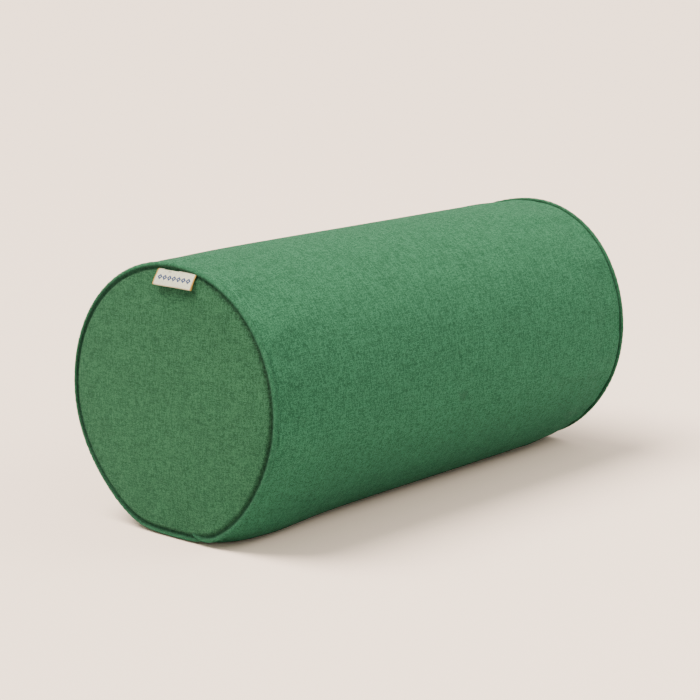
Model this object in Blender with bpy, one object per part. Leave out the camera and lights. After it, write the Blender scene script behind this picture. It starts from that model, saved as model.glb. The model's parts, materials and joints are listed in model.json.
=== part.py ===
"""Round bolster pillow: a piped and zipped cover over a liner, wadding and a foam core.

Lengths are in metres and +Z is up. The pillow's axis runs along X, the labelled end is at -X and
the zip is on the +Y side. The origin is the middle of the flat on which the pillow rests.
"""
import math

import bmesh
import bpy
from mathutils import Matrix, Vector

# Overall sizes
BODY_LENGTH = 0.460        # between the two piped seams
RING_RADIUS = 0.115        # over the piping, before the pillow settles
END_CROWN = 0.007          # how far the middle of an end panel stands out from its seam
PIPING_DIAMETER = 0.0042   # over the fabric of the piping
BODY_STEP = 0.002          # how far the body lies below the top of the piping
SAG = 0.0045               # how far the piping rings settle on the ground

# Sewn layers
FABRIC = 0.0005            # cover fabric
SEAM_ALLOWANCE = 0.012     # turned in at each seam
SEAM_DIP_LENGTH = 0.009    # over which the body dips towards its seam
SEAM_ROOM = 0.0028         # from the bottom of the piping's bead to the edge of the dip
FOLD_RADIUS = 0.0013       # edge fold of an end panel
LINER_FABRIC = 0.0003
WADDING_WRAP = 0.015       # wadding round the foam core
WADDING_END = 0.012        # wadding over the ends of the foam core

# Sewn-in loop label
LABEL_WIDTH = 0.042
LABEL_DROP = 0.0135        # straight part that hangs outside the seam
LABEL_PLY = 0.00025
LABEL_PLY_GAP = 0.0002
LABEL_LOOP = 0.0014        # between the plies beside the fold
LABEL_TILT = math.radians(33)
LABEL_ANGLE = math.radians(94.5)

# Zip
ZIP_ANGLE = math.radians(9)
ZIP_OPENING = 0.400        # length of the slot in the body panel
SLOT_MARGIN = 0.0007       # between the slider and the edges of the slot
TAPE_WIDTH = 0.0143
TAPE_THICKNESS = 0.0006
TAPE_TAIL = 0.015          # tape past each end of the slot
CHAIN_GAP = 0.0015         # between the two coils, where the slider's post runs
COIL_WIDTH = 0.00245
COIL_HEIGHT = 0.0019
COIL_ROUNDING = 0.0006
STOP_LENGTH = 0.003
STOP_MARGIN = 0.0017       # from the end of the slot to the outer end of a stop
SLIDER_LENGTH = 0.011
PLATE_THICKNESS = 0.001
SIDE_WALL = 0.00095        # side walls of the slider
POST_LENGTH = 0.003
BRIDGE_LENGTH = 0.0084
BRIDGE_WIDTH = 0.0022
BRIDGE_WALL = 0.0009
TAB_LENGTH = 0.027
TAB_WIDTH = 0.0072
TAB_THICKNESS = 0.0012
TAB_ARM = 0.0012           # width of each arm beside the tab's eye
TAB_END_MARGIN = 0.0007    # between the bridge's swept corner and the end of the eye
PULL_HOLE_RADIUS = 0.0013

# Clearances
GAP = 0.0003               # between pieces that touch
RUNNING_GAP = 0.00035      # beside pieces that slide or turn

# Resolution
COLUMNS = 40               # facets round the pillow
ARC_STEPS = 2              # facets of a quarter turn in a seam

# Derived sizes
SEAM_X = BODY_LENGTH / 2
CENTRE_Z = RING_RADIUS - SAG
BODY_RADIUS = RING_RADIUS - BODY_STEP
PIPING_RADIUS = PIPING_DIAMETER / 2
SEAM_DIP_DEPTH = PIPING_DIAMETER - BODY_STEP + SEAM_ROOM
PIPING_CENTRE = RING_RADIUS - PIPING_RADIUS
ALLOWANCE_RADIUS = BODY_RADIUS - SEAM_ALLOWANCE
FLANGE_HALF = FABRIC + GAP / 2
LABEL_THICKNESS = 2 * LABEL_PLY + LABEL_PLY_GAP
BODY_SEAM = FLANGE_HALF + GAP                           # axial distance of the body's turned edge
PANEL_SEAM = FLANGE_HALF + 2 * GAP + LABEL_THICKNESS    # and of the end panel's turned edge
PANEL_FOLD_RADIUS = BODY_RADIUS - SEAM_DIP_DEPTH + GAP  # middle of the end panel's edge fold
FACE_SEAM = PANEL_SEAM + 2 * FOLD_RADIUS                # where the end panel's face starts
LINER_RADIUS = BODY_RADIUS - FABRIC - GAP
WADDING_RADIUS = LINER_RADIUS - LINER_FABRIC - GAP
CORE_RADIUS = WADDING_RADIUS - WADDING_WRAP - GAP
LINER_END = SEAM_DIP_LENGTH                             # liner's rim, measured inwards
WADDING_FACE = LINER_END + LINER_FABRIC + GAP
CORE_END = WADDING_FACE + WADDING_END + GAP
FACET_SAG = BODY_RADIUS * (1 - math.cos(math.pi / COLUMNS))
TAPE_TOP = BODY_RADIUS - FABRIC - FACET_SAG - GAP
COIL_BASE = TAPE_TOP + GAP
COIL_TOP = COIL_BASE + COIL_HEIGHT
CHAIN_HALF = CHAIN_GAP / 2 + COIL_WIDTH
STOP_END = ZIP_OPENING / 2 - STOP_MARGIN
COIL_END = STOP_END - STOP_LENGTH - GAP
SLIDER_CLOSED_X = COIL_END - SLIDER_LENGTH / 2
SLIDER_HALF = CHAIN_HALF + RUNNING_GAP + SIDE_WALL
SLOT_WIDTH = 2 * (SLIDER_HALF + SLOT_MARGIN)
LOWER_PLATE_TOP = -TAPE_THICKNESS - GAP                 # slider heights are above the tape
UPPER_PLATE_BASE = GAP + COIL_HEIGHT + GAP
UPPER_PLATE_TOP = UPPER_PLATE_BASE + PLATE_THICKNESS
TAB_AXIS_HEIGHT = UPPER_PLATE_TOP + GAP + TAB_THICKNESS / 2
BRIDGE_INSIDE = UPPER_PLATE_TOP + 2 * GAP + TAB_THICKNESS
BRIDGE_TOP = BRIDGE_INSIDE + BRIDGE_WALL
SLIDER_DEPTH = -LOWER_PLATE_TOP + PLATE_THICKNESS
RECESS_DEPTH = LINER_RADIUS - (TAPE_TOP - SLIDER_DEPTH) + RUNNING_GAP
RECESS_FLAT = TAPE_WIDTH + CHAIN_GAP
RECESS_EDGE = 3 * RECESS_FLAT


def clear_scene():
    """Remove every object of the open scene."""
    for item in list(bpy.data.objects):
        bpy.data.objects.remove(item, do_unlink=True)


def material(name, colour, roughness, metallic=0.0):
    """Return a Principled material."""
    made = bpy.data.materials.new(name)
    made.use_nodes = True
    shader = made.node_tree.nodes["Principled BSDF"]
    shader.inputs["Base Color"].default_value = (*colour, 1.0)
    shader.inputs["Roughness"].default_value = roughness
    shader.inputs["Metallic"].default_value = metallic
    return made


def add_object(name, mesh_data, finish, smooth_angle=None):
    """Turn a bmesh into a named object with one material."""
    bmesh.ops.recalc_face_normals(mesh_data, faces=mesh_data.faces)
    mesh = bpy.data.meshes.new(name)
    mesh_data.to_mesh(mesh)
    mesh_data.free()
    if smooth_angle is not None:
        mesh.shade_smooth()
        mesh.set_sharp_from_angle(angle=smooth_angle)
    made = bpy.data.objects.new(name, mesh)
    made.data.materials.append(finish)
    bpy.context.scene.collection.objects.link(made)
    return made


def arc(centre, half_width, half_height, start, end, steps):
    """Points of an elliptical arc in (axial, radial) coordinates, both ends included."""
    points = []
    for step in range(steps + 1):
        angle = start + (end - start) * step / steps
        along = centre[0] + half_width * math.cos(angle)
        out = centre[1] + half_height * math.sin(angle)
        points.append((along, out))
    return points


def zip_recess(radius, angle):
    """How far the filling is pushed in behind the zip at this radius and angle."""
    turn = math.remainder(angle - ZIP_ANGLE, 2 * math.pi)
    share = (RECESS_EDGE - abs(turn) * BODY_RADIUS) / (RECESS_EDGE - RECESS_FLAT)
    depth_share = (radius - CORE_RADIUS) / (LINER_RADIUS - CORE_RADIUS)
    return RECESS_DEPTH * min(max(share, 0.0), 1.0) * min(max(depth_share, 0.0), 1.0)


def pushed_up(angle, radius):
    """How far the ground pushes up a round section of this radius at an angle."""
    return max(0.0, -(CENTRE_Z + radius * math.sin(angle)))


def settled(x, y, z, piped=False, filling=False):
    """Move a point of a round section centred on the X axis to where the settled pillow holds it."""
    radius = math.hypot(y, z)
    angle = math.atan2(z, y)
    if filling:
        radius -= zip_recess(radius, angle)
    lift = pushed_up(angle, BODY_RADIUS) * (radius / BODY_RADIUS) ** 2
    if piped:
        share = (radius - ALLOWANCE_RADIUS) / (RING_RADIUS - ALLOWANCE_RADIUS)
        foot_lift = pushed_up(angle, BODY_RADIUS) * (ALLOWANCE_RADIUS / BODY_RADIUS) ** 2
        lift = foot_lift * (1 - share) + pushed_up(angle, RING_RADIUS) * share
    return Vector((x, radius * math.cos(angle), CENTRE_Z + radius * math.sin(angle) + lift))


def turned(name, outline, finish, piped=False, filling=False):
    """Turn a closed (axial, radial) outline round the pillow's axis and let it settle."""
    build = bmesh.new()
    radial = Vector((0, math.cos(ZIP_ANGLE), math.sin(ZIP_ANGLE)))
    corners = [build.verts.new(Vector((x, 0, 0)) + radius * radial) for x, radius in outline]
    pairs = list(zip(corners, corners[1:] + corners[:1]))
    on_axis = {corner for corner, point in zip(corners, outline) if point[1] == 0}
    edges = [build.edges.new(pair) for pair in pairs if not set(pair) <= on_axis]
    bmesh.ops.spin(build, geom=corners + edges, cent=(0, 0, 0), axis=(1, 0, 0),
                   angle=2 * math.pi, steps=COLUMNS, use_merge=True)
    bmesh.ops.remove_doubles(build, verts=build.verts, dist=1e-6)
    for corner in build.verts:
        corner.co = settled(*corner.co, piped, filling)
    return add_object(name, build, finish, math.radians(35))


def prism(name, outline, plane, low, high, finish):
    """Extrude a closed 2-D outline; plane names its two axes and the rest is the extrusion's."""
    build = bmesh.new()
    first, second = "xyz".index(plane[0]), "xyz".index(plane[1])
    third = 3 - first - second
    corners = []
    for point in outline:
        place = [0.0, 0.0, 0.0]
        place[first], place[second], place[third] = point[0], point[1], low
        corners.append(build.verts.new(place))
    face = build.faces.new(corners)
    grown = bmesh.ops.extrude_face_region(build, geom=[face])
    moved = [item for item in grown["geom"] if isinstance(item, bmesh.types.BMVert)]
    offset = Vector((0, 0, 0))
    offset[third] = high - low
    bmesh.ops.translate(build, verts=moved, vec=offset)
    return add_object(name, build, finish)


def rectangle(low_a, high_a, low_b, high_b):
    """Corners of an axis-aligned rectangle."""
    return [(low_a, low_b), (high_a, low_b), (high_a, high_b), (low_a, high_b)]


def use_cutter(target, cutter, operation):
    """Join, or cut away, a helper solid that the model itself leaves out."""
    cutter.hide_render = True
    cutter.display_type = 'WIRE'
    change = target.modifiers.new(operation.title(), 'BOOLEAN')
    change.operation = operation
    change.solver = 'EXACT'
    change.object = cutter


def round_edges(target, width, segments=2):
    """Add a small Bevel to a solid's sharp edges."""
    bevel = target.modifiers.new("Rounding", 'BEVEL')
    bevel.width = width
    bevel.segments = segments
    bevel.limit_method = 'ANGLE'
    bevel.angle_limit = math.radians(40)


def zip_frame(x, height=0.0):
    """Frame on the zip's centre line: Z out of the cover, heights above the top of the tapes."""
    radius = TAPE_TOP + height
    place = Vector((x, radius * math.cos(ZIP_ANGLE), CENTRE_Z + radius * math.sin(ZIP_ANGLE)))
    return Matrix.Translation(place) @ Matrix.Rotation(ZIP_ANGLE - math.pi / 2, 4, 'X')


def bent_bar(name, ends, sides, radii, finish, steps=1):
    """Bar along X that follows the cover's curve; sides are distances round it from the zip."""
    build = bmesh.new()
    outline = []
    for radius, order in zip(radii, (1, -1)):
        row = []
        for step in range(steps + 1):
            side = sides[0] + (sides[1] - sides[0]) * step / steps
            angle = ZIP_ANGLE + side / BODY_RADIUS
            row.append((radius * math.cos(angle), CENTRE_Z + radius * math.sin(angle)))
        outline += row[::order]
    lower = [build.verts.new((ends[0], y, z)) for y, z in outline]
    upper = [build.verts.new((ends[1], y, z)) for y, z in outline]
    build.faces.new(lower)
    build.faces.new(upper)
    for index in range(len(outline)):
        after = (index + 1) % len(outline)
        build.faces.new((lower[index], lower[after], upper[after], upper[index]))
    return add_object(name, build, finish)


def body_panel(finish):
    """Tube of cover fabric, turned in at both seams and slotted for the zip."""
    dip_x = SEAM_X - SEAM_DIP_LENGTH
    dip_r = BODY_RADIUS - SEAM_DIP_DEPTH
    quarter = math.pi / 2
    outside = arc((dip_x, dip_r), SEAM_DIP_LENGTH - BODY_SEAM, SEAM_DIP_DEPTH, quarter, 0, ARC_STEPS)
    outside.append((SEAM_X - BODY_SEAM, ALLOWANCE_RADIUS))
    inside = arc((dip_x, dip_r), SEAM_DIP_LENGTH - BODY_SEAM - FABRIC, SEAM_DIP_DEPTH - FABRIC,
                 0, quarter, ARC_STEPS)
    inside.insert(0, (SEAM_X - BODY_SEAM - FABRIC, ALLOWANCE_RADIUS))
    right = outside + inside
    left = [(-x, radius) for x, radius in reversed(right)]
    panel = turned("cover_body_panel", right + left, finish)
    half = ZIP_OPENING / 2
    depth = 10 * FABRIC
    cutter = prism("slot_cutter", rectangle(-half, half, -SLOT_WIDTH / 2, SLOT_WIDTH / 2), "xy",
                   -depth, depth, finish)
    cutter.matrix_world = zip_frame(0)
    use_cutter(panel, cutter, 'DIFFERENCE')
    return panel


def face_offset(radius):
    """Axial distance from the seam to an end panel's outer face."""
    return FACE_SEAM + (END_CROWN - FACE_SEAM) * (1 - (radius / PANEL_FOLD_RADIUS) ** 2)


def face_points(radii, inset):
    """Points of a face that lies the given distance inside an end panel's outer face."""
    return [(face_offset(radius) - inset, radius) for radius in radii]


def end_panel(side, sign, finish):
    """Crowned disc of cover fabric with its edge folded back along the seam."""
    rings = [0.0, PANEL_FOLD_RADIUS * 0.5, PANEL_FOLD_RADIUS * 0.8]
    centre = (PANEL_SEAM + FOLD_RADIUS, PANEL_FOLD_RADIUS)
    outer = face_points(rings, 0.0)
    outer += arc(centre, FOLD_RADIUS, FOLD_RADIUS, 0, math.pi, 2 * ARC_STEPS)
    outer.append((PANEL_SEAM, ALLOWANCE_RADIUS))
    inner = [(PANEL_SEAM + FABRIC, ALLOWANCE_RADIUS)]
    bend = FOLD_RADIUS - FABRIC
    inner += arc(centre, bend, bend, math.pi, 0, 2 * ARC_STEPS)
    inner += face_points(rings[::-1], FABRIC)
    outline = [(sign * (SEAM_X + x), radius) for x, radius in outer + inner]
    return turned(f"cover_end_panel_{side}", outline, finish)


def piping_strip(side, sign, finish):
    """Strip of cover fabric folded round a cord, with both edges sewn into the seam."""
    outer_start = math.asin(FLANGE_HALF / PIPING_RADIUS)
    inner_radius = PIPING_RADIUS - FABRIC
    inner_start = math.asin(GAP / 2 / inner_radius)
    down = -math.pi / 2
    full = 2 * math.pi
    centre = (0, PIPING_CENTRE)
    outer = arc(centre, PIPING_RADIUS, PIPING_RADIUS, down - outer_start, down - full + outer_start, 8)
    inner = arc(centre, inner_radius, inner_radius, down - full + inner_start, down - inner_start, 6)
    foot = ALLOWANCE_RADIUS
    outline = [(-FLANGE_HALF, foot), *outer, (FLANGE_HALF, foot)]
    outline += [(GAP / 2, foot), *inner, (-GAP / 2, foot)]
    outline = [(sign * SEAM_X + x, radius) for x, radius in outline]
    return turned(f"piping_strip_{side}", outline, finish, piped=True)


def piping_cord(side, sign, finish):
    """Round cord inside the piping."""
    radius = PIPING_RADIUS - FABRIC - GAP
    outline = arc((sign * SEAM_X, PIPING_CENTRE), radius, radius, 0, 2 * math.pi, 8)[:-1]
    return turned(f"piping_cord_{side}", outline, finish, piped=True)


def stepped_disc_outline(sign, centre_inset, rim_inset, step_radius, rim_radius, thickness):
    """Outline of a disc that is crowned in the middle and stepped back behind the seam."""
    rings = [0.0, step_radius * 0.6, step_radius]
    points = face_points(rings, centre_inset)
    points += [(-rim_inset, step_radius), (-rim_inset, rim_radius)]
    inner_step = step_radius - thickness
    points += [(-rim_inset - thickness, rim_radius), (-rim_inset - thickness, inner_step)]
    inner_rings = [inner_step, step_radius * 0.6, 0.0]
    points += face_points(inner_rings, centre_inset + thickness)
    return [(sign * (SEAM_X + x), radius) for x, radius in points]


def liner_end(side, sign, finish):
    """Disc that closes the liner, crowned like the cover and stepped behind its seam."""
    outline = stepped_disc_outline(sign, FABRIC + GAP, LINER_END, ALLOWANCE_RADIUS - GAP,
                                   LINER_RADIUS - LINER_FABRIC - GAP, LINER_FABRIC)
    return turned(f"liner_end_{side}", outline, finish, filling=True)


def wadding_end(side, sign, finish):
    """Round pad between the foam core and the end of the liner."""
    step_radius = ALLOWANCE_RADIUS - LINER_FABRIC - 2 * GAP
    inset = FABRIC + LINER_FABRIC + 2 * GAP
    points = face_points([0.0, step_radius * 0.6, step_radius], inset)
    points += [(-WADDING_FACE, step_radius), (-WADDING_FACE, WADDING_RADIUS)]
    back = WADDING_FACE + WADDING_END
    points += [(-back, WADDING_RADIUS), (-back, CORE_RADIUS), (-back, 0.0)]
    outline = [(sign * (SEAM_X + x), radius) for x, radius in points]
    return turned(f"wadding_end_{side}", outline, finish, filling=True)


def tube_outline(half_length, inner_radius, outer_radius):
    """Outline of a plain tube."""
    return rectangle(-half_length, half_length, inner_radius, outer_radius)


def label(finish):
    """Ribbon folded into a loop; its ends are held in the seam of the labelled end."""
    turn_centre = (PANEL_SEAM + FOLD_RADIUS, PANEL_FOLD_RADIUS)
    turn_radius = FOLD_RADIUS + GAP + LABEL_THICKNESS / 2
    half_closed = (LABEL_PLY_GAP + LABEL_PLY) / 2
    down = Vector((math.sin(LABEL_TILT), -math.cos(LABEL_TILT)))
    path = [Vector((turn_centre[0] - turn_radius, ALLOWANCE_RADIUS + GAP))]
    bend = arc(turn_centre, turn_radius, turn_radius, math.pi, LABEL_TILT, 2 * ARC_STEPS)
    path += [Vector(point) for point in bend]
    half_gaps = [half_closed] * len(path)
    bend_end = path[-1]
    for share in (0.3, 0.7, 0.95):
        path.append(bend_end + down * LABEL_DROP * share)
        half_gaps.append(half_closed + (LABEL_LOOP / 2 - half_closed) * share)
    outer, inner = [], []
    for index, point in enumerate(path):
        before = path[max(index - 1, 0)]
        after = path[min(index + 1, len(path) - 1)]
        along = (after - before).normalized()
        across = Vector((-along.y, along.x))
        outer.append(point + across * half_gaps[index])
        inner.append(point - across * half_gaps[index])
    ribbon = outer + [bend_end + down * LABEL_DROP] + inner[::-1]

    middle = Vector((0, math.cos(LABEL_ANGLE), math.sin(LABEL_ANGLE)))
    sideways = Vector((0, -middle.z, middle.y))
    centre = Vector((-SEAM_X, 0, CENTRE_Z))
    build = bmesh.new()
    columns = 6
    rows = []
    for column in range(columns + 1):
        width = LABEL_WIDTH * (column / columns - 0.5)
        drop = BODY_RADIUS - math.sqrt(BODY_RADIUS ** 2 - width ** 2)
        row = []
        for point in ribbon:
            place = centre + Vector((-point.x, 0, 0)) + middle * (point.y - drop) + sideways * width
            row.append(build.verts.new(place))
        rows.append(row)
    for row, after in zip(rows, rows[1:]):
        for index in range(len(row) - 1):
            build.faces.new((row[index], row[index + 1], after[index + 1], after[index]))
    made = add_object("label_loop", build, finish, math.radians(40))
    solid = made.modifiers.new("Thickness", 'SOLIDIFY')
    solid.thickness = LABEL_PLY
    solid.offset = 0
    return made


def zip_chain(tape_finish, coil_finish, stop_finish):
    """Two tapes, each with its coil, and the stops at both ends of the chain."""
    tape_end = ZIP_OPENING / 2 + TAPE_TAIL
    inner = CHAIN_GAP / 2
    for side, sign in (("upper", 1), ("lower", -1)):
        tape_sides = (sign * inner, sign * (inner + TAPE_WIDTH))
        coil_sides = (sign * inner, sign * CHAIN_HALF)
        bent_bar(f"zip_tape_{side}", (-tape_end, tape_end), tape_sides,
                 (TAPE_TOP - TAPE_THICKNESS, TAPE_TOP), tape_finish, 3)
        coil = bent_bar(f"zip_coil_{side}", (-COIL_END, COIL_END), coil_sides,
                        (COIL_BASE, COIL_TOP), coil_finish)
        round_edges(coil, COIL_ROUNDING)
        stop = bent_bar(f"zip_top_stop_{side}", (COIL_END + GAP, STOP_END), coil_sides,
                        (COIL_BASE, COIL_TOP), stop_finish)
        round_edges(stop, COIL_ROUNDING / 2)
    bottom = bent_bar("zip_bottom_stop", (-STOP_END, -COIL_END - GAP), (-CHAIN_HALF, CHAIN_HALF),
                      (COIL_BASE, COIL_TOP), stop_finish, 2)
    round_edges(bottom, COIL_ROUNDING / 2)


def slider(finish):
    """Two plates joined by a post, with side walls and a bridge for the pull tab."""
    half = SLIDER_LENGTH / 2
    wall = SLIDER_HALF - SIDE_WALL
    channel = [(-SLIDER_HALF, GAP), (-wall, GAP), (-wall, UPPER_PLATE_BASE),
               (wall, UPPER_PLATE_BASE), (wall, GAP), (SLIDER_HALF, GAP),
               (SLIDER_HALF, UPPER_PLATE_TOP), (-SLIDER_HALF, UPPER_PLATE_TOP)]
    body = prism("zip_slider", channel, "yz", -half, half, finish)
    overlap = PLATE_THICKNESS / 2
    plate = prism("lower_plate_form",
                  rectangle(-SLIDER_HALF, SLIDER_HALF, LOWER_PLATE_TOP - PLATE_THICKNESS, LOWER_PLATE_TOP),
                  "yz", -half, half, finish)
    post_half = CHAIN_GAP / 2 - RUNNING_GAP
    post_diamond = [(half - POST_LENGTH, 0), (half - POST_LENGTH / 2, -post_half),
                    (half, -post_half), (half, post_half), (half - POST_LENGTH / 2, post_half)]
    post = prism("post_form", post_diamond, "xy", LOWER_PLATE_TOP - overlap,
                 UPPER_PLATE_BASE + overlap, finish)
    reach = BRIDGE_LENGTH / 2
    foot = reach - BRIDGE_WALL
    base = UPPER_PLATE_TOP - overlap
    slope = BRIDGE_WALL / 2
    bridge_outline = [(-reach, base), (-foot, base), (-foot, BRIDGE_INSIDE), (foot, BRIDGE_INSIDE),
                      (foot, base), (reach, base), (reach, BRIDGE_TOP - slope),
                      (reach - slope, BRIDGE_TOP), (-reach + slope, BRIDGE_TOP),
                      (-reach, BRIDGE_TOP - slope)]
    bridge = prism("bridge_form", bridge_outline, "xz", -BRIDGE_WIDTH / 2, BRIDGE_WIDTH / 2, finish)
    place = zip_frame(SLIDER_CLOSED_X)
    body.matrix_world = place
    for helper in (plate, post, bridge):
        helper.matrix_world = place
    use_cutter(body, post, 'UNION')
    use_cutter(body, plate, 'UNION')
    use_cutter(body, bridge, 'UNION')
    return body


def pull_tab(finish):
    """Flat tab whose eye turns on the slider's bridge; its origin is on the turning axis."""
    bar = TAB_THICKNESS / 2
    inside = BRIDGE_WIDTH / 2 + RUNNING_GAP
    outside = inside + TAB_ARM
    swept = math.hypot(BRIDGE_LENGTH / 2, BRIDGE_TOP - TAB_AXIS_HEIGHT)
    eye_end = swept + TAB_END_MARGIN
    half_width = TAB_WIDTH / 2
    tip = arc((-TAB_LENGTH + half_width, 0), half_width, half_width, math.pi / 2, 3 * math.pi / 2, 8)
    neck = eye_end + half_width - outside
    outline = [(bar, outside), (-eye_end, outside), (-neck, half_width), *tip,
               (-neck, -half_width), (-eye_end, -outside), (bar, -outside)]
    tab = prism("zip_pull_tab", outline, "xy", -bar, bar, finish)
    eye = prism("eye_cutter", rectangle(-eye_end, -bar, -inside, inside), "xy",
                -TAB_THICKNESS, TAB_THICKNESS, finish)
    hole_centre = (-TAB_LENGTH + half_width, 0)
    hole_points = arc(hole_centre, PULL_HOLE_RADIUS, PULL_HOLE_RADIUS, 0, 2 * math.pi, 12)[:-1]
    hole = prism("hole_cutter", hole_points, "xy", -TAB_THICKNESS, TAB_THICKNESS, finish)
    place = zip_frame(SLIDER_CLOSED_X, TAB_AXIS_HEIGHT)
    tab.matrix_world = place
    for cutter in (eye, hole):
        cutter.matrix_world = place
        use_cutter(tab, cutter, 'DIFFERENCE')
    round_edges(tab, TAB_THICKNESS / 4, 1)
    return tab


def build_pillow():
    """Model every piece of the pillow."""
    cover = material("cover_linen", (0.070, 0.180, 0.085), 0.9)
    piping = material("piping_linen", (0.066, 0.170, 0.080), 0.9)
    cord = material("piping_cotton_cord", (0.75, 0.72, 0.64), 0.95)
    ribbon = material("label_ribbon", (0.80, 0.78, 0.70), 0.7)
    tape = material("zip_tape_polyester", (0.055, 0.150, 0.070), 0.85)
    nylon = material("zip_coil_nylon", (0.060, 0.160, 0.080), 0.45)
    metal = material("zip_metal", (0.60, 0.58, 0.52), 0.35, 1.0)
    liner = material("liner_cotton", (0.82, 0.80, 0.74), 0.9)
    wadding = material("polyester_wadding", (0.90, 0.90, 0.88), 1.0)
    foam = material("foam", (0.85, 0.80, 0.62), 0.95)

    body_panel(cover)
    for side, sign in (("left", -1), ("right", 1)):
        end_panel(side, sign, cover)
        piping_strip(side, sign, piping)
        piping_cord(side, sign, cord)
        liner_end(side, sign, liner)
        wadding_end(side, sign, wadding)
    label(ribbon)
    zip_chain(tape, nylon, metal)
    slider(metal)
    pull_tab(metal)
    liner_half = SEAM_X - LINER_END
    turned("liner_body", tube_outline(liner_half, LINER_RADIUS - LINER_FABRIC, LINER_RADIUS), liner,
           filling=True)
    core_half = SEAM_X - CORE_END
    turned("wadding_wrap", tube_outline(core_half, WADDING_RADIUS - WADDING_WRAP, WADDING_RADIUS),
           wadding, filling=True)
    core_outline = [(-core_half, 0.0), (-core_half, CORE_RADIUS), (core_half, CORE_RADIUS),
                    (core_half, 0.0)]
    turned("foam_core", core_outline, foam, filling=True)


clear_scene()
build_pillow()
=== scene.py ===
"""Looks of a round bolster pillow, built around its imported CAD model.

Lengths are in metres. The pillow's axis runs along X, the labelled end is at -X, the zip is on the
+Y side and the ground is at Z = 0. Cloth coordinates are a place along the axis and an angle round
it, which is 0 towards +Y and grows towards +Z.
"""
import json
import math
from contextlib import contextmanager

import bmesh
import bpy
import numpy as np
from bpy.props import FloatProperty, FloatVectorProperty, IntProperty, PointerProperty
from mathutils import Matrix, Vector


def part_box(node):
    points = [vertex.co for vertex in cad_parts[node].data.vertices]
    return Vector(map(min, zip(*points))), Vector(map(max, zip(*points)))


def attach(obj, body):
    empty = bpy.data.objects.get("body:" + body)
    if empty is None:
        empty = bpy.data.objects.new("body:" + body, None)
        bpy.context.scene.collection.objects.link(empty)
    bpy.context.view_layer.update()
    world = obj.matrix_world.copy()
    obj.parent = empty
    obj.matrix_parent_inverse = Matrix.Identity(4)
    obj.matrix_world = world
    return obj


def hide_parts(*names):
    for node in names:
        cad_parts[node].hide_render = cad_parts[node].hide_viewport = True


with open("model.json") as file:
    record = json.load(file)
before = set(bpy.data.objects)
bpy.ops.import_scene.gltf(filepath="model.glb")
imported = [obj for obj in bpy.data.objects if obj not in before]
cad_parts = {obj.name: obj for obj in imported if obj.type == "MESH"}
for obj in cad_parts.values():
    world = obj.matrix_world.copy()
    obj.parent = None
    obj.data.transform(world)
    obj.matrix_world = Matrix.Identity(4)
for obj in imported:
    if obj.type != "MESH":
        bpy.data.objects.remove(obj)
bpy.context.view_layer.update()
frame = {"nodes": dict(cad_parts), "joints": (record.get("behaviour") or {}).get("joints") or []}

bl_info = {
    "name": "Bolster Pillow",
    "version": (1, 0, 0),
    "blender": (4, 5, 0),
    "location": "View3D > Sidebar > Bolster",
    "description": "Builds a corded bolster pillow with a label and a zip around its CAD frame",
    "category": "Object",
}

# Places and sizes that the CAD frame gives
RING_LOW, RING_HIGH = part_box("piping_strip_right")
PANEL_LOW, PANEL_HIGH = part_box("cover_body_panel")
COIL_LOW, COIL_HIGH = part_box("zip_coil_upper")
TAPE_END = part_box("zip_tape_upper")[1].x
LINER_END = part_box("liner_body")[1].x
CORE_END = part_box("foam_core")[1].x
SEAM_X = (RING_LOW.x + RING_HIGH.x) / 2
RING_RADIUS = (RING_HIGH.y - RING_LOW.y) / 2
PIPING_DIAMETER = RING_HIGH.x - RING_LOW.x
CENTRE_Z = RING_HIGH.z - RING_RADIUS
BODY_RADIUS = (PANEL_HIGH.y - PANEL_LOW.y) / 2
ZIP_HINGE = next(joint for joint in frame["joints"] if joint["name"] == "pull_swing")
HINGE_PLACE = Vector(ZIP_HINGE["pos_m"])
ZIP_ANGLE = math.atan2(HINGE_PLACE.z - CENTRE_Z, HINGE_PLACE.y)
ZIP_OUT = Vector((0, math.cos(ZIP_ANGLE), math.sin(ZIP_ANGLE)))

# Soft dents and bulges of the stuffed ends: degrees round the axis, half-width, height
NEAR_LUMPS = ((-150, 30, -0.0046), (-94, 22, 0.0012), (132, 32, 0.0026), (-42, 22, -0.0024))
FAR_LUMPS = ((75, 24, -0.0042), (130, 32, 0.0040), (-140, 34, -0.0030), (-35, 32, 0.0018))
ZIP_CALM = math.radians(20)   # half-width of the strip at the zip that stays even
PLUMPNESS = 0.0027            # how far the middle of the body stands out beyond its seams
FLOOR_EASE = 0.0015           # rounding where a section lifts off the ground
SEAM_BITE = 0.85              # how deep in the piping's bead the seams lie, as a share of its radius
SLOT_HALF = 0.0052            # from the middle of the zip to each hem, just clear of the slider
TAPE_WIDTH = 0.0140           # one tape of the zip
TAPE_DEPTH = 0.00125          # from the face of the body down to the tapes
LAP_ANGLE = math.radians(-106)   # where the ends of the piping cross
LAP_LENGTH = math.radians(7)
PIPING_FLANGE = 0.0075        # flat part of the piping inside the seam
SEAM_DEPTH = 0.0006           # of the body's edge below the edge of the end panel
SEAM_STRETCH = 1.15           # length of cloth that rounds into a seam, as a share of the dip
CREASE_SHADE = 0.78           # how much darker painted shade makes the cloth at the bottom of a seam
CREASE_LOW, CREASE_HIGH = -0.0006, 0.0010   # limits of the creases that the simulation leaves
LABEL_MIDDLE = math.radians(94.5)


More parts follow.
